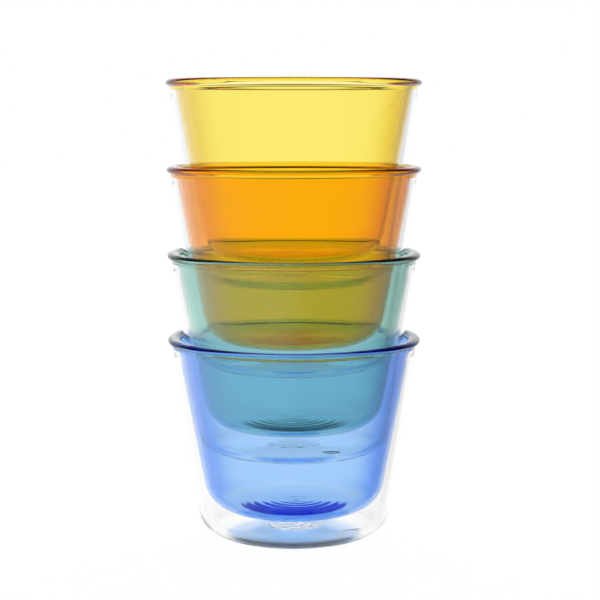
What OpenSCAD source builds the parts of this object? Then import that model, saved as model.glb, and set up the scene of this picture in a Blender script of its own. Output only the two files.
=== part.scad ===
// Nested stack of four double-wall cortado glasses. In each glass a tinted inner bowl is
// fused at the lip to a clear outer shell, and a small glass seal closes the shell's vent.
// Millimetres and degrees. The lowest glass stands on z = 0 and the stack rises along z.

/* [Lip] */
// Outside diameter of the lip
lip_d = 80; // [64:1:100]
// Height of the lip's bead
lip_h = 2.4; // [1.8:0.1:3.6]
// Distance that the lip stands out past the shell wall
lip_overhang = 0.9; // [0.5:0.1:1.6]
// Radial width of the clear part of the lip
lip_clear_w = 2.4; // [2.2:0.1:3.4]
// Height of the fused seam below the bead
seam_below_lip = 0.8; // [0.4:0.1:2]

/* [Outer shell] */
// Height of one glass
glass_h = 63; // [54:0.5:80]
// Angle of the shell wall from upright
shell_taper = 8.6; // [6:0.1:10]
// Thickness of the shell wall
shell_wall = 1.2; // [0.9:0.1:1.6]
// Thickness of the shell's base
base_wall = 1.4; // [1:0.1:2.2]
// Thickness that the base gains in its middle
base_swell = 0.5; // [0.2:0.1:1]
// Diameter of that swell
base_swell_d = 18; // [10:1:24]
// Outside radius of the rounded heel
heel_r = 7; // [5:0.5:9]
// Radial width of the flat foot ring that the glass stands on
foot_w = 6.2; // [5:0.1:9]
// Rise of the shallow hollow inside the foot ring
punt_h = 0.6; // [0.3:0.1:1.2]

/* [Inner bowl] */
// Thickness of the bowl wall
bowl_wall = 1.25; // [0.9:0.05:1.6]
// Thickness of the bowl's bottom
bowl_floor = 1.2; // [0.9:0.1:2.4]
// Thickness that each bowl's bottom gains in its middle, half on each face, lowest glass first
bowl_swells = [1.6, 0.8, 0.3, 0.3];
// Width of the level ring that is left around that swell
swell_edge = 0.5; // [0.3:0.1:3]
// Height of the bowl's underside above the table
bowl_lift = 7.5; // [6:0.5:11]
// Outside radius between the bowl's wall and bottom
bowl_round = 10.5; // [7:0.5:14]
// Air gap between the two walls at the height of the bowl's underside
air_gap = 2.3; // [1.8:0.1:3.4]
// Depth of the concentric ripples under the bowl
ripple_h = 0.1; // [0.05:0.05:0.4]
// Distance from one ripple to the next
ripple_pitch = 2.6; // [2:0.1:5]
// Least width of the smooth flat that is left around the ripples
ripple_edge = 4; // [2:0.5:6]

/* [Vent seal] */
// Diameter of the vent hole in the shell's base
vent_d = 3.4; // [2.4:0.1:4]
// Diameter of the seal's bead inside the shell
seal_d = 4.6; // [4.2:0.1:5]
// Height of the seal's bead
seal_h = 0.8; // [0.5:0.1:2]
// Height of the seal's outer end above the table
seal_recess = 0.4; // [0.2:0.1:0.8]
// Angle of each glass's vent about the stack's axis, lowest glass first
vent_turns = [-27, -56, 35, 118];

/* [Stack] */
// Gap between a nested glass's heel and the bowl that holds it
seat_gap = 0.2; // [0.1:0.05:0.5]

/* [Hidden] */

// Levels in the stack, lowest first
blue = 0;
green = 1;
orange = 2;
yellow = 3;
clear_glass = "Gainsboro";
tints = ["CornflowerBlue", "MediumAquamarine", "Orange", "Gold"];

// Smoothness of the revolves, and straight steps in each rounded corner, lip, punt, swell and ripple
$fn = 96;
arc_steps = 8;
lip_steps = 24;
punt_steps = 8;
swell_steps = 10;
ripple_steps = 4;

// Shell: cone through the wall, rounded heel, foot ring
lip_r = lip_d / 2;
shell_top_r = lip_r - lip_overhang;
shell_slope = tan(shell_taper);
heel_at = [shell_r(heel_r) - heel_r / cos(shell_taper), heel_r];
heel_in_r = heel_r - shell_wall;
heel_in_z = base_wall + heel_in_r;
heel_in_at = [shell_in_r(heel_in_z) - heel_in_r / cos(shell_taper), heel_in_z];
foot_r = heel_at[0];
punt_r = foot_r - foot_w;
vent_r = foot_r - foot_w / 2;

// Bowl: its cone runs from the seam in the lip to the air gap above the heel
seam_r = lip_r - lip_clear_w;
bowl_foot_r = shell_in_r(bowl_lift) - air_gap;
bowl_slope = (seam_r - bowl_foot_r) / (glass_h - bowl_lift);
bowl_taper = atan(bowl_slope);
bowl_round_at = [bowl_r(bowl_lift + bowl_round) - bowl_round / cos(bowl_taper), bowl_lift + bowl_round];
ripple_count = max(1, floor((bowl_round_at[0] - ripple_edge) / ripple_pitch));
hollow_round = bowl_round - bowl_wall;
hollow_z = bowl_lift + bowl_floor;
hollow_round_z = hollow_z + hollow_round;
hollow_round_at = [hollow_r(hollow_round_z) - hollow_round / cos(bowl_taper), hollow_round_z];
swell_r = min(bowl_round_at[0], hollow_round_at[0]) - swell_edge;

// Lip: an ellipse from the bowl's inner face to the lip's edge
lip_z = glass_h - lip_h / 2;
lip_in_r = hollow_r(lip_z);
lip_at = [(lip_in_r + lip_r) / 2, lip_z];
lip_half = [(lip_r - lip_in_r) / 2, lip_h / 2];
seam_z = glass_h - lip_h - seam_below_lip;

// A nested glass stands where its rounded heel meets the cone of the bowl below, seat_gap away
seat_r = heel_at[0] + (heel_r + seat_gap) / cos(bowl_taper);
pitch = glass_h - (hollow_r(glass_h) - seat_r) / bowl_slope - heel_at[1];

// Radius of each wall face at a height
function shell_r(z) = shell_top_r - shell_slope * (glass_h - z);
function shell_in_r(z) = shell_r(z) - shell_wall / cos(shell_taper);
function bowl_r(z) = seam_r - bowl_slope * (glass_h - z);
function hollow_r(z) = bowl_r(z) - bowl_wall / cos(bowl_taper);

// Points of a rounded corner, from straight down to the slant of the wall
function corner(at, r, taper) =
    [for (i = [0:arc_steps]) let (a = -90 + (90 - taper) * i / arc_steps) at + r * [cos(a), sin(a)]];

// Part of a swell's full height that is left at a share of its radius
function swell(share) = 1 - min(1, share * share);

// Points of the base's hollow, from the axis out to the foot ring, raised by a swell
function punt(z, rise) =
    [for (i = [0:punt_steps]) let (s = i / punt_steps, r = s * punt_r)
        [r, z + punt_h * (1 + cos(180 * s)) / 2 + rise * swell(2 * r / base_swell_d)]];

// Points of the bowl's floor, from the axis out to its level ring
function floor_face(level) =
    [for (i = [0:swell_steps]) let (s = i / swell_steps)
        [s * swell_r, hollow_z + bowl_swells[level] / 2 * swell(s)]];

// Points under the bowl, from the axis out: ripples that die out, on a swell that ends with its level ring
function under_face(level) =
    let (step = ripple_pitch / ripple_steps, last = ripple_count * ripple_steps)
    [for (i = [0:floor(swell_r / step)])
        let (r = i * step, wave = max(0, 1 - i / last) * (1 + cos(360 * i / ripple_steps)) / 2)
        [r, bowl_lift + ripple_h * wave - bowl_swells[level] / 2 * swell(r / swell_r)]];

// Section of all inside the shell's outer face, up to the middle of the lip
module shell_outline() {
    polygon(concat(punt(0, 0), corner(heel_at, heel_r, shell_taper),
                   [[shell_r(lip_z), lip_z], [0, lip_z]]));
}

// Section of the space inside the shell, up to the seam
module shell_space() {
    polygon(concat(punt(base_wall, base_swell), corner(heel_in_at, heel_in_r, shell_taper),
                   [[shell_in_r(seam_z), seam_z], [0, seam_z]]));
}

// Section of all inside the bowl's outer face, up to the top of the lip
module bowl_outline(level) {
    polygon(concat(under_face(level), corner(bowl_round_at, bowl_round, bowl_taper),
                   [[bowl_r(glass_h), glass_h], [0, glass_h]]));
}

// Section of the space for the drink, up to the middle of the lip
module bowl_space(level) {
    polygon(concat(floor_face(level), corner(hollow_round_at, hollow_round, bowl_taper),
                   [[lip_in_r, lip_z], [0, lip_z]]));
}

module lip_section() {
    polygon([for (i = [0:lip_steps - 1]) let (a = 360 * i / lip_steps)
        lip_at + [lip_half[0] * cos(a), lip_half[1] * sin(a)]]);
}

// Section of both walls of one glass and of the air between them
module glass_section(level) {
    union() {
        difference() {
            shell_outline();
            bowl_space(level);
        }
        lip_section();
    }
}

// Puts a piece of one glass at its level in the stack
module at_level(level) {
    translate([0, 0, level * pitch]) rotate(vent_turns[level]) children();
}

// Clear outer wall with the outer part of the lip and the vent hole
module shell(level) {
    color(clear_glass) at_level(level) difference() {
        rotate_extrude() difference() {
            glass_section(level);
            bowl_outline(level);
            shell_space();
        }
        translate([vent_r, 0, -base_wall]) cylinder(d = vent_d, h = 3 * base_wall);
    }
}

// Tinted inner wall with the inner part of the lip
module bowl(level) {
    color(tints[level]) at_level(level) rotate_extrude() intersection() {
        glass_section(level);
        bowl_outline(level);
    }
}

// Stem in the vent hole under a domed bead
module vent_seal(level) {
    dome_r = (pow(seal_d / 2, 2) + pow(seal_h, 2)) / (2 * seal_h);
    color(clear_glass) at_level(level) translate([vent_r, 0, 0]) {
        translate([0, 0, seal_recess]) cylinder(d = vent_d, h = base_wall - seal_recess);
        intersection() {
            translate([0, 0, base_wall + seal_h - dome_r]) sphere(r = dome_r);
            translate([0, 0, base_wall]) cylinder(d = seal_d, h = seal_h);
        }
    }
}

shell(blue);  // blue_shell
bowl(blue);  // blue_bowl
vent_seal(blue);  // blue_vent_seal
shell(green);  // green_shell
bowl(green);  // green_bowl
vent_seal(green);  // green_vent_seal
shell(orange);  // orange_shell
bowl(orange);  // orange_bowl
vent_seal(orange);  // orange_vent_seal
shell(yellow);  // yellow_shell
bowl(yellow);  // yellow_bowl
vent_seal(yellow);  // yellow_vent_seal
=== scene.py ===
"""Nested stack of four double-wall cortado glasses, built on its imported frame.

Each glass is a clear blown shell, a tinted bowl that is fused to it at the lip and a bead
that seals the shell's vent. All three are surfaces of revolution worked out from a half
section, r across and z up, and a pale studio stands around the stack.
"""

import math

import bpy
import numpy as np
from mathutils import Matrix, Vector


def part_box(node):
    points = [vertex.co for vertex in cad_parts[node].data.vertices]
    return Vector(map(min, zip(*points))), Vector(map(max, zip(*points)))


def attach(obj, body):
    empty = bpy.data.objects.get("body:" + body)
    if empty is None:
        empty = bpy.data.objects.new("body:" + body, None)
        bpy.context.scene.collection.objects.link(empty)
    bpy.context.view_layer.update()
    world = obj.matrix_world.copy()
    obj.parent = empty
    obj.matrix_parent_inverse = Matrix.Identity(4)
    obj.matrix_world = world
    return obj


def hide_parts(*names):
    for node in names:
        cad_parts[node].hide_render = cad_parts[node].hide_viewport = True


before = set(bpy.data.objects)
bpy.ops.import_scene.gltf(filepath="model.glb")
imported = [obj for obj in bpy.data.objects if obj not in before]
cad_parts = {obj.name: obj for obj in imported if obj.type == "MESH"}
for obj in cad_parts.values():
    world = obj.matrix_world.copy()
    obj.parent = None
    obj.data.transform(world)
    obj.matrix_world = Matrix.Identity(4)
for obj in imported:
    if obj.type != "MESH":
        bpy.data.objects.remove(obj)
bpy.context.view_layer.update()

bl_info = {
    "name": "Nested cortado glasses",
    "version": (1, 0, 0),
    "blender": (4, 5, 0),
    "location": "View3D > Sidebar > Cortado",
    "description": "Blows a nested stack of double-wall cortado glasses on its packed frame",
    "category": "Add Mesh",
}

MM = 0.001  # in metres, as all lengths here are
FIRST_LOW, FIRST_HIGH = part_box("blue_shell")
GLASSES = ("blue", "green", "orange", "yellow")  # from the table up
WHITE = (1.0, 1.0, 1.0)
BLACK = (0.0, 0.0, 0.0)

# Points around the walls and around a seal's bead
TURN_STEPS = 256
SEAL_STEPS = 64

# Points along the parts of a shell's section
PUNT_STEPS = 40
FOOT_STEPS = 18
HEEL_STEPS = 28
SHELL_STEPS = 30
NECK_STEPS = 40
CROWN_STEPS = 24
SHELL_SEAM_STEPS = 8
CEILING_STEPS = 4
HEEL_IN_STEPS = 24
BASE_STEPS = 12

# Points along the parts of a bowl's section
BOTTOM_STEPS = 60
ROUND_STEPS = 32
BOWL_STEPS = 36
BOWL_SEAM_STEPS = 10

# Points along the parts of a bead's section
DISC_STEPS = 6
EDGE_STEPS = 3
DROP_STEPS = 28

# Points along the lip's crown among which the seam is found, and the step below which two are one
SEAM_TRIES = 2000
SAME_POINT = 1e-9

# Height that a point may stand above a level face of the section and still belong to it, and the
# number of times the punt's rise within which the base's inner face lies
FACE_PLAY = 0.1 * MM
PUNT_PLAY = 1.1

# Slow lobes of a hand-blown wall: number around, share, turn from glass to glass, lean over the height
LOBES = ((2, 0.6, 1.7, 1.1), (3, 0.4, -2.3, -1.9))

# Rings in a shell's base: part of the ring depth, pitch, distance of their centre from the axis, and
# how far that centre turns from glass to glass
BASE_RING_DEPTH = 0.8
BASE_RING_PITCH = 2.4 * MM
BASE_RING_OFF = 2.5 * MM
BASE_RING_TURN = 1.3

# Rings in a bowl's bottom: those under it as parts of the ring depth and pitch, distance of the centre
# from the axis on each face, and how far both turn from glass to glass
UNDER_RING_DEPTH = 0.4
UNDER_RING_PITCH = 2
UNDER_RING_OFF = 1.2 * MM
FLOOR_RING_OFF = 0.8 * MM
BOWL_RING_TURN = 2.1

# Part of a solid seal's height that its melted bead keeps
BEAD_SHARE = 0.6
# Angle past which a corner stays sharp
SHARP_CORNER = math.radians(35)

# Waves in blown glass: height, and number in a metre
WALL_WAVES = (0.008 * MM, 70.0)
BEAD_WAVES = (0.02 * MM, 300.0)
WAVE_DETAIL = 1.0
WAVE_ROUGHNESS = 0.4

# Mirroring of clear glass seen straight on
CLEAR_GLOSS = 0.05
# A face goes from upright to level while the upward part of its normal goes through this range
LEVEL_RANGE = (0.7, 0.96)
# Power of the coat that level faces get
LEVEL_COAT = 0.6
# One minus the cosine of the slant, where the slanted tint starts and where it is full
SHELL_SLANT = (0.3, 0.9)
BOWL_SLANT = (0.25, 0.65)

# Floor: half its side, and its depth under the stack's foot
FLOOR_HALF = 3.0
FLOOR_DROP = 0.05 * MM
# Disc of floor whose shadow shows through the glass: its centre, and where it ends
DISC_AT = (0.0, -11.0 * MM, 0.0)
DISC_EDGE = (20.0 * MM, 22.5 * MM)
# Distances from that centre over which the floor beside the stack goes over to the floor farther off
NEAR_EDGE = (0.2, 0.45)
# Shade under the heel: radii where it comes and goes, and how far it reaches round from the front
SHADE_INSIDE = (21.0 * MM, 25.0 * MM)
SHADE_OUTSIDE = (28.0 * MM, 34.0 * MM)
SHADE_FRONT = (-23.0 * MM, -15.0 * MM)

# Backdrop: angles from straight back over which it fades, sine of the angle at which it is all left or
# right, and the distance in front of the axis from which the floor's angles are taken
BACKDROP_EDGE = (math.radians(24), math.radians(42))
BACKDROP_SIDE = 0.6
BACKDROP_EYE = 60.0 * MM

# Heights of a direction, as its upward part, over which the room darkens overhead
OVERHEAD = (0.2, 0.5)
# Light on the floor: upward parts of a direction over which it comes and goes, backward parts over
# which it grows, and what is left of it near the floor and in front
LIGHT_FOOT = (0.3, 0.6)
LIGHT_HEAD = (0.65, 0.85)
LIGHT_BACK = (-0.2, 0.4)
LIGHT_NEAR_FLOOR = 0.1
LIGHT_IN_FRONT = 0.2

# Times that light may pass a face of glass
BOUNCES = 128
# Width of the camera's sensor in millimetres, and the nearest thing that it sees
SENSOR = 36.0
NEAR_CLIP = 0.01


def length(name, description, default):
    """A size in metres that the sidebar shows in the scene's unit."""
    return bpy.props.FloatProperty(
        name=name, description=description, default=default, min=0.0, unit="LENGTH", precision=5)


def angle(name, description, degrees):
    """An angle that the sidebar shows in degrees."""
    return bpy.props.FloatProperty(
        name=name, description=description, default=math.radians(degrees), subtype="ANGLE")


def colour(name, description, default):
    """A linear colour."""
    return bpy.props.FloatVectorProperty(
        name=name, description=description, default=default, min=0.0, max=1.0, size=3,
        subtype="COLOR")


def factor(name, description, default, high=1.0):
    """A plain number from nought to a highest value."""
    return bpy.props.FloatProperty(
        name=name, description=description, default=default, min=0.0, max=high)


class GlassSizes(bpy.types.PropertyGroup):
    """Sizes of one glass of the stack"""

    height: length("Height", "Height of one glass", FIRST_HIGH.z - FIRST_LOW.z)
    lip_radius: length(
        "Lip radius", "Outside radius of the lip", (FIRST_HIGH.x - FIRST_LOW.x) / 2)
    lip_height: length("Lip height", "Height of the lip's bead", 2.4 * MM)
    lip_overhang: length(
        "Lip overhang", "Distance that the lip stands out past the shell", 0.9 * MM)
    lip_clear: length("Clear lip", "Width of the clear part of the lip", 2.4 * MM)
    lip_neck: length("Lip neck", "Softness of the neck under the lip", 0.5 * MM)
    seam_drop: length("Seam drop", "Height of the fused seam below the lip's bead", 0.8 * MM)
    seam_melt: length(
        "Seam melt", "Depth that the bowl runs into the shell along the seam", 0.03 * MM)
    shell_taper: angle("Shell taper", "Angle of the shell wall from upright", 8.6)
    shell_wall: length("Shell wall", "Thickness of the shell wall", 1.2 * MM)
    base_wall: length("Base wall", "Thickness of the shell's base", 1.4 * MM)
    heel_radius: length("Heel radius", "Outside radius of the rounded heel", 7.0 * MM)
    foot_width: length("Foot width", "Width of the flat foot ring", 6.2 * MM)
    punt_rise: length("Punt rise", "Rise of the hollow inside the foot ring", 0.6 * MM)
    bowl_wall: length("Bowl wall", "Thickness of the bowl wall", 1.25 * MM)
    bowl_floor: length("Bowl floor", "Thickness of the bowl's bottom at its edge", 1.2 * MM)
    bowl_lift: length("Bowl lift", "Height of the bowl's underside above the table", 7.5 * MM)
    bowl_round: length(
        "Bowl round", "Outside radius between the bowl's wall and bottom", 10.5 * MM)
    air_gap: length("Air gap", "Gap between the walls at the bowl's underside", 2.3 * MM)
    bowl_swell: bpy.props.FloatVectorProperty(
        name="Bowl swell",
        description="Thickness that each bowl's bottom gains in its middle, lowest glass first",
        default=(1.6 * MM, 0.8 * MM, 0.3 * MM, 0.3 * MM), min=0.0, size=4, unit="LENGTH",
        precision=5)
    swell_edge: length("Swell edge", "Width of the level ring around that swell", 0.5 * MM)
    base_swell: length(
        "Base swell", "Thickness that the shell's base gains in its middle", 0.5 * MM)
    base_swell_radius: length("Base swell radius", "Radius of the swell in the base", 9.0 * MM)
    ring_depth: length("Ring depth", "Depth of the rings in the bottom", 0.065 * MM)
    ring_pitch: length("Ring pitch", "Distance from ring to ring", 2.6 * MM)
    hand_wobble: length(
        "Hand wobble", "How far a blown wall strays from a true round", 0.05 * MM)


class GlassTints(bpy.types.PropertyGroup):
    """Colours of the bowls: the light that is left after both walls of a bowl"""

    blue: colour("Blue", "Light left after both walls of the lowest bowl", (0.37, 0.615, 0.975))
    green: colour("Green", "Light left after both walls of the second bowl", (0.415, 0.722, 0.665))
    orange: colour("Orange", "Light left after both walls of the third bowl", (0.99, 0.495, 0.006))
    yellow: colour("Yellow", "Light left after both walls of the top bowl", (0.992, 0.84, 0.165))
    clear: colour("Clear", "Light left after both walls of a shell", (0.996, 0.997, 0.9965))
    edge: colour("Edge", "Light left where a shell's wall is seen at a slant", (0.94, 0.95, 0.945))
    slant: bpy.props.FloatVectorProperty(
        name="Slant",
        description="Deepening of each tint at a slant, lowest glass first, as a power of the tint",
        default=(1.3, 0.25, 0.4, 1.0), min=0.0, size=4)
    coat: factor(
        "Coat", "Part of a bowl's tint on the faces of its wall, the rest being in the glass", 0.5)
    gloss: bpy.props.FloatVectorProperty(
        name="Gloss", description="Mirroring of each bowl seen straight on, lowest glass first",
        default=(0.05, 0.8, 0.05, 0.05), min=0.0, max=1.0, size=4)
    ior: factor("Refraction", "Refractive index of the glass", 1.47, 2.5)


class StudioSetup(bpy.types.PropertyGroup):
    """Camera, light and floor of the pale studio"""

    lens: factor("Lens", "Focal length in millimetres on a 36 mm sensor", 92.46, 300.0)
    distance: length("Distance", "Distance of the camera from the stack's axis", 486.0 * MM)
    eye: length("Eye", "Height of the camera above the table", 135.7 * MM)
    aside: length("Aside", "Distance of the camera to the right of the axis", 1.9 * MM)
    tilt: angle("Tilt", "Downward tilt of the camera", 7.21)
    floor_colour: colour("Floor", "Colour of the floor", (0.97, 0.97, 0.97))
    floor_white: factor(
        "Floor white", "Share of the floor that no shadow takes away, seen directly", 0.965)
    floor_through: factor(
        "Floor through glass", "Share of it that no shadow takes away, seen through glass", 0.0)
    ceiling: factor("Ceiling", "Brightness overhead, as the glass sees it", 0.05)
    left: factor("Left", "Brightness far to the left, as the glass mirrors it", 0.85)
    right: factor("Right", "Brightness far to the right, as the glass mirrors it", 0.35)
    heel_shade: factor(
        "Heel shade", "Shadow on the floor under the heel, seen through glass", 0.7)
    near_floor: factor(
        "Near floor", "Brightness of the floor beside the stack, times that farther off", 1.25, 4.0)
    back_light: factor(
        "Back light", "Brightness of the low light behind the stack on the floor", 6.9, 10.0)


class GlassSection:
    """Half section of one glass, from its sizes: radii of the four wall faces and their corners."""

    def __init__(self, s):
        self.s = s
        lean = math.cos(s.shell_taper)
        self.shell_slope = math.tan(s.shell_taper)
        self.shell_top = s.lip_radius - s.lip_overhang
        self.heel_at = (self.shell_r(s.heel_radius) - s.heel_radius / lean, s.heel_radius)
        self.heel_in = s.heel_radius - s.shell_wall
        heel_in_z = s.base_wall + self.heel_in
        self.heel_in_at = (self.shell_in_r(heel_in_z) - self.heel_in / lean, heel_in_z)
        self.punt_r = self.heel_at[0] - s.foot_width

        self.seam_r = s.lip_radius - s.lip_clear
        bowl_foot = self.shell_in_r(s.bowl_lift) - s.air_gap
        self.bowl_slope = (self.seam_r - bowl_foot) / (s.height - s.bowl_lift)
        self.bowl_taper = math.atan(self.bowl_slope)
        lean = math.cos(self.bowl_taper)
        round_z = s.bowl_lift + s.bowl_round
        self.round_at = (self.bowl_r(round_z) - s.bowl_round / lean, round_z)
        self.hollow_round = s.bowl_round - s.bowl_wall
        self.hollow_z = s.bowl_lift + s.bowl_floor
        hollow_z = self.hollow_z + self.hollow_round
        self.hollow_at = (self.hollow_r(hollow_z) - self.hollow_round / lean, hollow_z)
        self.swell_r = min(self.round_at[0], self.hollow_at[0]) - s.swell_edge

        self.lip_z = s.height - s.lip_height / 2
        lip_in = self.hollow_r(self.lip_z)
        self.lip_at = ((lip_in + s.lip_radius) / 2, self.lip_z)
        self.lip_half = ((s.lip_radius - lip_in) / 2, s.lip_height / 2)
        self.seam_z = s.height - s.lip_height - s.seam_drop
        self.crown = self.seam_on_lip()

    def shell_r(self, z):
        """Outside of the shell: a cone."""
        return self.shell_top - self.shell_slope * (self.s.height - z)

    def shell_in_r(self, z):
        """Inside of the shell: the same cone, one wall further in."""
        return self.shell_r(z) - self.s.shell_wall / math.cos(self.s.shell_taper)

    def bowl_r(self, z):
        """Outside of the bowl: a cone of its own that meets the shell in the lip."""
        return self.seam_r - self.bowl_slope * (self.s.height - z)

    def hollow_r(self, z):
        """Inside of the bowl: its cone, one wall further in."""
        return self.bowl_r(z) - self.s.bowl_wall / math.cos(self.bowl_taper)

    def lip(self, turn):
        """Points of the lip's ellipse, turn being 0 at its outer edge and a quarter turn at its top."""
        return np.column_stack((self.lip_at[0] + self.lip_half[0] * np.cos(turn),
                                self.lip_at[1] + self.lip_half[1] * np.sin(turn)))

    def seam_on_lip(self):
        """Turn at which the bowl's outer cone comes out through the top of the lip."""
        turn = np.linspace(math.pi / 3, 2 * math.pi / 3, SEAM_TRIES)
        r, z = self.lip(turn).T
        return float(np.interp(0.0, self.bowl_r(z) - r, turn))

    def neck(self, z):
        """Outside of the shell just under the lip: the larger of cone and ellipse, rounded where they
        meet by a quarter of the neck's softness times the square of how near the two are."""
        cone = self.shell_r(z)
        drop = np.clip((self.lip_z - z) / self.lip_half[1], 0.0, 1.0)
        bead = self.lip_at[0] + self.lip_half[0] * np.sqrt(1.0 - drop ** 2)
        near = np.clip(1.0 - np.abs(cone - bead) / self.s.lip_neck, 0.0, 1.0)
        return np.maximum(cone, bead) + near ** 2 * self.s.lip_neck / 4


def line(start, stop, count):
    """Evenly spaced points from start to stop."""
    return np.linspace(start, stop, count)


def arc(centre, radius, start, stop, count):
    """Points of a circle from one angle to another, 0 being straight out and a quarter turn up."""
    turn = np.linspace(start, stop, count)
    return np.column_stack((centre[0] + radius * np.cos(turn), centre[1] + radius * np.sin(turn)))


def punt(section, height):
    """Hollow of the base from its axis to the foot ring: half a cosine wave, high in the middle."""
    share = np.linspace(0.0, 1.0, PUNT_STEPS)
    rise = section.s.punt_rise * (1.0 + np.cos(math.pi * share)) / 2
    return np.column_stack((share * section.punt_r, height + rise))


def joined(*parts):
    """One section from its parts, without the points where one part starts on the end of the last."""
    points = np.vstack(parts)
    step = np.linalg.norm(np.diff(points, axis=0), axis=1)
    return points[np.concatenate(([True], step > SAME_POINT))]


def shell_section(section):
    """Outline of the clear shell, from the axis under the base, out and up the wall, over the outer
    half of the lip, down the seam and the inside of the wall, and back to the axis."""
    s, taper = section.s, section.s.shell_taper
    neck_z = np.linspace(section.seam_z - s.lip_height, section.lip_z, NECK_STEPS)
    neck = np.column_stack((section.neck(neck_z), neck_z))
    crown = section.lip(np.linspace(0.0, section.crown, CROWN_STEPS))
    ceiling = (section.bowl_r(section.seam_z), section.seam_z)
    wall_in = (section.shell_in_r(section.seam_z), section.seam_z)
    under = punt(section, 0.0)
    heel = arc(section.heel_at, s.heel_radius, -math.pi / 2, -taper, HEEL_STEPS)
    heel_in = arc(section.heel_in_at, section.heel_in, -taper, -math.pi / 2, HEEL_IN_STEPS)
    base = punt(section, s.base_wall)[::-1]
    return joined(
        under, line(under[-1], heel[0], FOOT_STEPS), heel,
        line(heel[-1], neck[0], SHELL_STEPS), neck,
        crown, line(crown[-1], ceiling, SHELL_SEAM_STEPS), line(ceiling, wall_in, CEILING_STEPS),
        line(wall_in, heel_in[0], SHELL_STEPS), heel_in,
        line(heel_in[-1], base[0], BASE_STEPS), base)


def bowl_section(section):
    """Outline of the tinted bowl, from the axis under its bottom, up the outside, along the seam, over
    the inner half of the lip, down the inside and back to the axis. The seam runs a little way into
    the shell, so that light passes as through one piece of glass."""
    s, taper = section.s, section.bowl_taper
    bottom = arc(section.round_at, s.bowl_round, -math.pi / 2, -taper, ROUND_STEPS)
    hollow = arc(section.hollow_at, section.hollow_round, -taper, -math.pi / 2, ROUND_STEPS)
    crown = section.lip(np.linspace(section.crown, math.pi, CROWN_STEPS))
    seam_foot = (section.bowl_r(section.seam_z), section.seam_z)
    seam = line(seam_foot, crown[0], BOWL_SEAM_STEPS)
    seam[1:-1, 0] += s.seam_melt
    return joined(
        line((0.0, s.bowl_lift), bottom[0], BOTTOM_STEPS), bottom,
        line(bottom[-1], seam_foot, BOWL_STEPS), seam, crown,
        line(crown[-1], hollow[0], BOWL_STEPS), hollow,
        line(hollow[-1], (0.0, section.hollow_z), BOTTOM_STEPS))


def seal_section(radius, height, sunk):
    """Outline of a seal's bead: a disc, sunk a little into the base, under a drop whose height is
    (1 - share squared) squared of the full height, share being the part of the radius."""
    share = np.linspace(1.0, 0.0, DROP_STEPS)
    drop = np.column_stack((share * radius, height * (1.0 - share ** 2) ** 2))
    edge = (radius, -sunk)
    return joined(line((0.0, -sunk), edge, DISC_STEPS), line(edge, drop[0], EDGE_STEPS), drop)


def turned(outline, steps):
    """Grid of r, turn and z for an outline that is carried round the axis."""
    turn = np.linspace(0.0, 2 * math.pi, steps, endpoint=False)
    r, turn = np.meshgrid(outline[:, 0], turn, indexing="ij")
    return r, turn, np.broadcast_to(outline[:, 1:], r.shape).copy()


def revolve(r, turn, z):
    """Closed surface over a grid whose first and last rows lie on the axis: rows are joined by quads
    and the two ends by fans. An outline that leaves the axis downwards and outwards gives outward
    faces."""
    rows, steps = r.shape
    x, y = r * np.cos(turn), r * np.sin(turn)
    ring = np.column_stack((x[1:-1].ravel(), y[1:-1].ravel(), z[1:-1].ravel()))
    ends = np.array(((0.0, 0.0, z[0].mean()), (0.0, 0.0, z[-1].mean())))
    here = np.arange((rows - 2) * steps).reshape(rows - 2, steps)
    on = np.roll(here, -1, axis=1)
    quads = np.stack((here[:-1], on[:-1], on[1:], here[1:]), axis=-1).reshape(-1, 4)
    low, high = len(ring), len(ring) + 1
    first = np.column_stack((np.full(steps, low), on[0], here[0]))
    last = np.column_stack((here[-1], on[-1], np.full(steps, high)))
    return np.vstack((ring, ends)), quads.tolist() + first.tolist() + last.tolist()


def hand_blown(r, turn, z, s, level):
    """Radii of a hand-blown wall: a true round with two and three slow lobes that lean with height and
    differ from glass to glass. They grow with the radius, so that both walls keep their gap."""
    climb = z / s.height
    lobes = sum(share * np.cos(count * turn + shift * level + lean * climb)
                for count, share, shift, lean in LOBES)
    return r * (1.0 + s.hand_wobble * lobes / s.lip_radius)


def swell(r, rise, reach):
    """Height of a swell at a radius: its full rise times (1 - share squared), share being the part of
    its reach, and nought beyond."""
    return rise * (1.0 - np.minimum(r / reach, 1.0) ** 2)


def rings(r, turn, reach, depth, pitch, off_axis, lean):
    """Height of the soft rings that turning leaves in a bottom: a cosine of the distance from a point a
    little off the axis, which dies out as one minus the sixth power of the part of the reach."""
    away = np.hypot(r * np.cos(turn) - off_axis * math.cos(lean),
                    r * np.sin(turn) - off_axis * math.sin(lean))
    fading = 1.0 - np.minimum(r / reach, 1.0) ** 6
    return depth / 2 * np.cos(2 * math.pi * away / pitch) * fading


def add_piece(name, points, faces, material, body, node):
    """Puts a surface into the scene as a smooth piece with sharp seam corners that rides on a body,
    stands for a node and takes its finish from a slot."""
    mesh = bpy.data.meshes.new(name)
    mesh.from_pydata(points.tolist(), [], faces)
    mesh.shade_smooth()
    mesh.set_sharp_from_angle(angle=SHARP_CORNER)
    mesh.materials.append(material)
    piece = bpy.data.objects.new(name, mesh)
    bpy.context.scene.collection.objects.link(piece)
    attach(piece, body)
    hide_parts(node)


def socket_values(node, **values):
    """Sets a node's inputs by name, with _ for a space."""
    for name, value in values.items():
        node.inputs[name.replace("_", " ")].default_value = value


def feed(tree, entry, value):
    """Links a socket to a node's input, or sets a plain value there."""
    if isinstance(value, bpy.types.NodeSocket):
        tree.links.new(value, entry)
    else:
        entry.default_value = value


def calc(tree, operation, *values):
    """A Math node on sockets or numbers, and its result."""
    node = tree.nodes.new("ShaderNodeMath")
    node.operation = operation
    for entry, value in zip(node.inputs, values):
        feed(tree, entry, value)
    return node.outputs["Value"]


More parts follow.
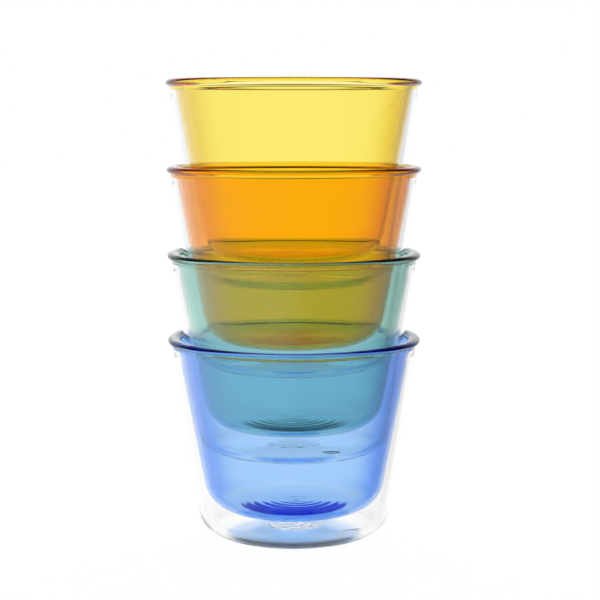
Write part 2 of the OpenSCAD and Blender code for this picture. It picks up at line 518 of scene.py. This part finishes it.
def blend(tree, share, first, second, kind="FLOAT"):
    """Mix of two sockets or values, which are numbers or colours, by a socket's share."""
    node = tree.nodes.new("ShaderNodeMix")
    node.data_type = kind
    entries = [entry for entry in node.inputs if entry.enabled]
    for entry, value in zip(entries, (share, first, second)):
        feed(tree, entry, value)
    return next(result for result in node.outputs if result.enabled)


def ramp(tree, value, low, high, at_low, at_high):
    """A value that goes smoothly from at_low to at_high while a socket goes from low to high."""
    node = tree.nodes.new("ShaderNodeMapRange")
    node.interpolation_type = "SMOOTHSTEP"
    socket_values(node, From_Min=low, From_Max=high, To_Min=at_low, To_Max=at_high)
    tree.links.new(value, node.inputs["Value"])
    return node.outputs["Result"]


def axes(tree, vector):
    """The x, y and z of a vector's socket."""
    parts = tree.nodes.new("ShaderNodeSeparateXYZ")
    tree.links.new(vector, parts.inputs["Vector"])
    return parts.outputs["X"], parts.outputs["Y"], parts.outputs["Z"]


def distance_from(tree, place, point):
    """Distance of a place's socket from a point."""
    node = tree.nodes.new("ShaderNodeVectorMath")
    node.operation = "DISTANCE"
    tree.links.new(place, node.inputs[0])
    node.inputs[1].default_value = point
    return node.outputs["Value"]


def has_bounced(tree, depth):
    """1 where a ray's depth of one kind is one or more, and 0 where it is nought."""
    return calc(tree, "GREATER_THAN", depth, 0.5)


def backdrop(tree, x, y, studio):
    """Brightness that the glass mirrors in a direction over the floor: full behind the stack, fading to
    either side of that to the studio's left and right values, which go over into each other with the
    sine of the direction's angle from straight back."""
    aside = calc(tree, "ARCTAN2", x, y)
    away = ramp(tree, calc(tree, "ABSOLUTE", aside), *BACKDROP_EDGE, 0.0, 1.0)
    side = ramp(tree, calc(tree, "SINE", aside), -BACKDROP_SIDE, BACKDROP_SIDE,
                studio.left, studio.right)
    return blend(tree, away, 1.0, side)


def glass_finish(name, ior, gloss, wave, wave_scale):
    """Clear glass whose surface runs in slow waves, as blown glass does: noise on Object coordinates
    lifts the surface by up to wave, in metres, wave_scale times in a metre."""
    material = bpy.data.materials.new(name)
    material.use_nodes = True
    nodes, links = material.node_tree.nodes, material.node_tree.links
    surface = nodes["Principled BSDF"]
    socket_values(surface, Base_Color=(*WHITE, 1.0), Roughness=0.0, IOR=ior,
                  Transmission_Weight=1.0, Specular_Tint=(gloss, gloss, gloss, 1.0))
    place = nodes.new("ShaderNodeTexCoord")
    noise = nodes.new("ShaderNodeTexNoise")
    socket_values(noise, Scale=wave_scale, Detail=WAVE_DETAIL, Roughness=WAVE_ROUGHNESS)
    bump = nodes.new("ShaderNodeBump")
    socket_values(bump, Strength=1.0, Distance=wave)
    links.new(place.outputs["Object"], noise.inputs["Vector"])
    links.new(noise.outputs["Fac"], bump.inputs["Height"])
    links.new(bump.outputs["Normal"], surface.inputs["Normal"])
    return material


def tint_faces(material, level, straight, slanted, slant_range):
    """Tints level faces by one colour and upright ones by another, which goes over to a third while one
    minus the cosine of the slant goes through its range."""
    tree = material.node_tree
    normal = tree.nodes.new("ShaderNodeNewGeometry").outputs["True Normal"]
    up = calc(tree, "ABSOLUTE", axes(tree, normal)[2])
    upright = ramp(tree, up, *LEVEL_RANGE, 1.0, 0.0)
    slant = tree.nodes.new("ShaderNodeLayerWeight")
    slant.inputs["Blend"].default_value = 0.5
    share = ramp(tree, slant.outputs["Facing"], *slant_range, 0.0, 1.0)
    wall = blend(tree, share, (*straight, 1.0), (*slanted, 1.0), "RGBA")
    face = blend(tree, upright, (*level, 1.0), wall, "RGBA")
    tree.links.new(face, tree.nodes["Principled BSDF"].inputs["Base Color"])


def tint_glass(material, tint, path):
    """Gives glass a tint by absorption: light that goes through path of it comes out as tint, so that
    absorption per metre is -ln(tint) / path. Density is the largest of the three, and the colour is
    one minus each share of it."""
    absorption = -np.log(np.array(tint)) / path
    density = float(absorption.max())
    volume = material.node_tree.nodes.new("ShaderNodeVolumeAbsorption")
    volume.inputs["Color"].default_value = (*(1.0 - absorption / density), 1.0)
    volume.inputs["Density"].default_value = density
    output = material.node_tree.nodes["Material Output"]
    material.node_tree.links.new(volume.outputs["Volume"], output.inputs["Volume"])


def floor_finish(studio):
    """Pale floor that is nearly white for the camera. Through glass it is matt in a disc under the
    stack, where the bowls tint the light on it, and white farther off. Where glass mirrors it, its white
    falls off to the sides as the backdrop does. All but the camera see a shade under the heel's front."""
    material = bpy.data.materials.new("pale_floor")
    material.use_nodes = True
    tree = material.node_tree
    nodes, links = tree.nodes, tree.links
    rays = nodes.new("ShaderNodeLightPath").outputs
    place = nodes.new("ShaderNodeTexCoord").outputs["Object"]
    x, y, _ = axes(tree, place)
    off_disc = distance_from(tree, place, DISC_AT)
    off_axis = distance_from(tree, place, (0.0, 0.0, 0.0))

    shade = calc(tree, "MULTIPLY", ramp(tree, off_axis, *SHADE_INSIDE, 0.0, studio.heel_shade),
                 ramp(tree, off_axis, *SHADE_OUTSIDE, 1.0, 0.0))
    shade = calc(tree, "MULTIPLY", shade, ramp(tree, y, *SHADE_FRONT, 1.0, 0.0))
    unshaded = calc(tree, "SUBTRACT", 1.0, blend(tree, rays["Is Camera Ray"], shade, 0.0))

    mirrored = calc(tree, "MINIMUM", 1.0, calc(
        tree, "MULTIPLY", backdrop(tree, x, calc(tree, "ADD", y, BACKDROP_EYE), studio),
        ramp(tree, off_disc, *NEAR_EDGE, studio.near_floor, 1.0)))
    seen = blend(tree, has_bounced(tree, rays["Glossy Depth"]), 1.0, mirrored)

    matt = nodes["Principled BSDF"]
    socket_values(matt, Roughness=1.0, Specular_IOR_Level=0.0)
    base = blend(tree, unshaded, (*BLACK, 1.0), (*studio.floor_colour, 1.0), "RGBA")
    links.new(base, matt.inputs["Base Color"])
    white = nodes.new("ShaderNodeEmission")
    links.new(calc(tree, "MULTIPLY", unshaded, seen), white.inputs["Strength"])

    through = ramp(tree, off_disc, *DISC_EDGE, studio.floor_through, studio.floor_white)
    mix = nodes.new("ShaderNodeMixShader")
    links.new(blend(tree, rays["Is Camera Ray"], through, studio.floor_white), mix.inputs["Fac"])
    links.new(matt.outputs["BSDF"], mix.inputs[1])
    links.new(white.outputs["Emission"], mix.inputs[2])
    links.new(mix.outputs["Shader"], nodes["Material Output"].inputs["Surface"])
    return material


class CORTADO_OT_blow_shells(bpy.types.Operator):
    """Blow the clear outer shell of each glass"""

    bl_idname = "cortado.blow_shells"
    bl_label = "Blow shells"

    def execute(self, context):
        s, tints = context.scene.cortado_sizes, context.scene.cortado_tints
        section = GlassSection(s)
        outline = shell_section(section)
        clear = glass_finish("clear_blown_glass", tints.ior, CLEAR_GLOSS, *WALL_WAVES)
        tint_glass(clear, tints.clear, 2 * s.shell_wall / math.cos(s.shell_taper))
        tint_faces(clear, WHITE, WHITE, tints.edge, SHELL_SLANT)
        for level, name in enumerate(GLASSES):
            r, turn, z = turned(outline, TURN_STEPS)
            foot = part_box(f"{name}_shell")[0].z
            under = (z < s.punt_rise + FACE_PLAY) & (r < section.heel_at[0])
            inside = (z >= s.punt_rise + FACE_PLAY) & (r < section.heel_in_at[0])
            inside &= z < s.base_wall + PUNT_PLAY * s.punt_rise
            z = z + np.where(under, self.dimple(r, turn, name, foot), 0.0)
            z = z + np.where(inside, self.middle(r, turn, s, level), 0.0)
            points, faces = revolve(hand_blown(r, turn, z, s, level), turn, z + foot)
            add_piece(f"{name}_blown_shell", points, faces, clear,
                      f"{name}_glass", f"{name}_shell")
        return {"FINISHED"}

    def dimple(self, r, turn, name, foot):
        """Height of the dimple under a vent: the outer end of the solid seal, dying out with the fourth
        power of the distance over the seal's radius, as an exponential."""
        low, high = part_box(f"{name}_vent_seal")
        vent = (low + high) / 2
        away = np.hypot(r * np.cos(turn) - vent.x, r * np.sin(turn) - vent.y)
        return (low.z - foot) * np.exp(-(2 * away / (high.x - low.x)) ** 4)

    def middle(self, r, turn, s, level):
        """Height that the base gains in its middle: a swell with rings."""
        return swell(r, s.base_swell, s.base_swell_radius) + rings(
            r, turn, s.base_swell_radius, BASE_RING_DEPTH * s.ring_depth, BASE_RING_PITCH,
            BASE_RING_OFF, math.pi - BASE_RING_TURN * level)


class CORTADO_OT_blow_bowls(bpy.types.Operator):
    """Blow the tinted inner bowl of each glass"""

    bl_idname = "cortado.blow_bowls"
    bl_label = "Blow bowls"

    def execute(self, context):
        s, tints = context.scene.cortado_sizes, context.scene.cortado_tints
        section = GlassSection(s)
        outline = bowl_section(section)
        for level, name in enumerate(GLASSES):
            glass = self.tinted(tints, level, name, 2 * s.bowl_wall / math.cos(section.bowl_taper))
            r, turn, z = turned(outline, TURN_STEPS)
            middle = swell(r, s.bowl_swell[level] / 2, section.swell_r)
            lean = BOWL_RING_TURN * level
            under = rings(r, turn, section.swell_r, UNDER_RING_DEPTH * s.ring_depth,
                          UNDER_RING_PITCH * s.ring_pitch, UNDER_RING_OFF, lean) - middle
            inside = rings(r, turn, section.swell_r, s.ring_depth,
                           s.ring_pitch, FLOOR_RING_OFF, lean) + middle
            low = z < s.bowl_lift + s.bowl_floor / 2
            on_floor = (z < section.hollow_z + FACE_PLAY) & ~low
            bottom = r < section.swell_r
            z = z + np.where(bottom & low, under, 0.0) + np.where(bottom & on_floor, inside, 0.0)
            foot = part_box(f"{name}_shell")[0].z
            points, faces = revolve(hand_blown(r, turn, z, s, level), turn, z + foot)
            add_piece(f"{name}_tinted_bowl", points, faces, glass,
                      f"{name}_glass", f"{name}_bowl")
        return {"FINISHED"}

    def tinted(self, tints, level, name, path):
        """Glass whose tint is split: the tint to the power of coat lies on the faces, half of that on
        each wall, and the rest is in the glass. A face lets the root of its colour through, so that the
        two faces of a wall give it once."""
        glass = glass_finish(f"{name}_blown_glass", tints.ior, tints.gloss[level], *WALL_WAVES)
        tint = np.array(getattr(tints, name))
        tint_glass(glass, tint ** (1 - tints.coat), path)
        coat = tint ** (tints.coat / 2)
        tint_faces(glass, coat ** LEVEL_COAT, coat, coat * tint ** tints.slant[level], BOWL_SLANT)
        return glass


class CORTADO_OT_seal_vents(bpy.types.Operator):
    """Melt a bead over the vent of each shell"""

    bl_idname = "cortado.seal_vents"
    bl_label = "Seal vents"

    def execute(self, context):
        s, tints = context.scene.cortado_sizes, context.scene.cortado_tints
        clear = glass_finish("seal_glass", tints.ior, CLEAR_GLOSS, *BEAD_WAVES)
        for name in GLASSES:
            low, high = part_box(f"{name}_vent_seal")
            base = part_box(f"{name}_shell")[0].z + s.base_wall
            outline = seal_section(
                (high.x - low.x) / 2, BEAD_SHARE * (high.z - base), s.seam_melt)
            points, faces = revolve(*turned(outline, SEAL_STEPS))
            points += ((low.x + high.x) / 2, (low.y + high.y) / 2, base)
            add_piece(f"{name}_seal_bead", points, faces, clear,
                      f"{name}_glass", f"{name}_vent_seal")
        return {"FINISHED"}


class CORTADO_OT_set_studio(bpy.types.Operator):
    """Set up the pale floor, the soft light and the camera"""

    bl_idname = "cortado.set_studio"
    bl_label = "Set studio"

    def execute(self, context):
        scene, studio = context.scene, context.scene.cortado_studio
        self.lay_floor(scene, studio)
        self.light_world(scene, studio)
        self.place_camera(scene, studio)
        scene.view_settings.view_transform = "Standard"
        scene.cycles.max_bounces = BOUNCES
        scene.cycles.transmission_bounces = BOUNCES
        scene.cycles.glossy_bounces = BOUNCES
        scene.cycles.blur_glossy = 0.0
        return {"FINISHED"}

    def lay_floor(self, scene, studio):
        """A wide pale floor just under the foot of the stack."""
        corners = np.array(((-1, -1, 0), (1, -1, 0), (1, 1, 0), (-1, 1, 0))) * FLOOR_HALF
        mesh = bpy.data.meshes.new("pale_floor")
        mesh.from_pydata((corners - (0, 0, FLOOR_DROP)).tolist(), [], [(0, 1, 2, 3)])
        mesh.materials.append(floor_finish(studio))
        floor = bpy.data.objects.new("pale_floor", mesh)
        scene.collection.objects.link(floor)

    def light_world(self, scene, studio):
        """White all round for the camera. The glass sees the same white, which falls off overhead, and
        what it mirrors falls off to the sides as well. The floor is lit by a wide soft light that stands
        low behind the stack, so that it reaches the table through the tinted bowls."""
        world = bpy.data.worlds.new("pale_studio")
        world.use_nodes = True
        scene.world = world
        tree = world.node_tree
        rays = tree.nodes.new("ShaderNodeLightPath").outputs
        x, y, z = axes(tree, tree.nodes.new("ShaderNodeTexCoord").outputs["Generated"])
        overhead = ramp(tree, z, *OVERHEAD, 1.0, studio.ceiling)
        mirrored = has_bounced(tree, rays["Glossy Depth"])
        around = blend(tree, mirrored, 1.0, backdrop(tree, x, y, studio))
        seen = blend(tree, rays["Is Camera Ray"], calc(tree, "MULTIPLY", overhead, around), 1.0)
        low = calc(tree, "MULTIPLY", ramp(tree, z, *LIGHT_FOOT, LIGHT_NEAR_FLOOR, 1.0),
                   ramp(tree, z, *LIGHT_HEAD, 1.0, 0.0))
        behind = calc(tree, "MULTIPLY", low,
                      ramp(tree, y, *LIGHT_BACK, LIGHT_IN_FRONT, studio.back_light))
        on_floor = has_bounced(tree, rays["Diffuse Depth"])
        back = tree.nodes["Background"]
        back.inputs["Color"].default_value = (*WHITE, 1.0)
        tree.links.new(blend(tree, on_floor, seen, behind), back.inputs["Strength"])

    def place_camera(self, scene, studio):
        """A camera in front of the stack that looks slightly down."""
        data = bpy.data.cameras.new("front_camera")
        data.sensor_width = SENSOR
        data.lens = studio.lens
        data.clip_start = NEAR_CLIP
        camera = bpy.data.objects.new("front_camera", data)
        camera.location = (studio.aside, -studio.distance, studio.eye)
        camera.rotation_euler = (math.pi / 2 - studio.tilt, 0.0, 0.0)
        scene.collection.objects.link(camera)
        scene.camera = camera


class CORTADO_PT_stack(bpy.types.Panel):
    """Sidebar panel with the steps in their order"""

    bl_label = "Cortado glasses"
    bl_idname = "CORTADO_PT_stack"
    bl_space_type = "VIEW_3D"
    bl_region_type = "UI"
    bl_category = "Cortado"

    def draw(self, context):
        column = self.layout.column()
        for step in STEPS:
            column.operator(step.bl_idname)
        for group in ("cortado_sizes", "cortado_tints", "cortado_studio"):
            box = column.box()
            values = getattr(context.scene, group)
            for name in values.__annotations__:
                box.prop(values, name)


STEPS = (CORTADO_OT_blow_shells, CORTADO_OT_blow_bowls, CORTADO_OT_seal_vents,
         CORTADO_OT_set_studio)
CLASSES = (GlassSizes, GlassTints, StudioSetup, *STEPS, CORTADO_PT_stack)


def register():
    """Registers the classes and hangs their values on the scene."""
    for item in CLASSES:
        bpy.utils.register_class(item)
    bpy.types.Scene.cortado_sizes = bpy.props.PointerProperty(type=GlassSizes)
    bpy.types.Scene.cortado_tints = bpy.props.PointerProperty(type=GlassTints)
    bpy.types.Scene.cortado_studio = bpy.props.PointerProperty(type=StudioSetup)


def unregister():
    """Takes the values off the scene and the classes out again."""
    del bpy.types.Scene.cortado_studio
    del bpy.types.Scene.cortado_tints
    del bpy.types.Scene.cortado_sizes
    for item in reversed(CLASSES):
        bpy.utils.unregister_class(item)


def main():
    register()
    bpy.ops.cortado.blow_shells()
    bpy.ops.cortado.blow_bowls()
    bpy.ops.cortado.seal_vents()
    bpy.ops.cortado.set_studio()


if __name__ == "__main__":
    main()
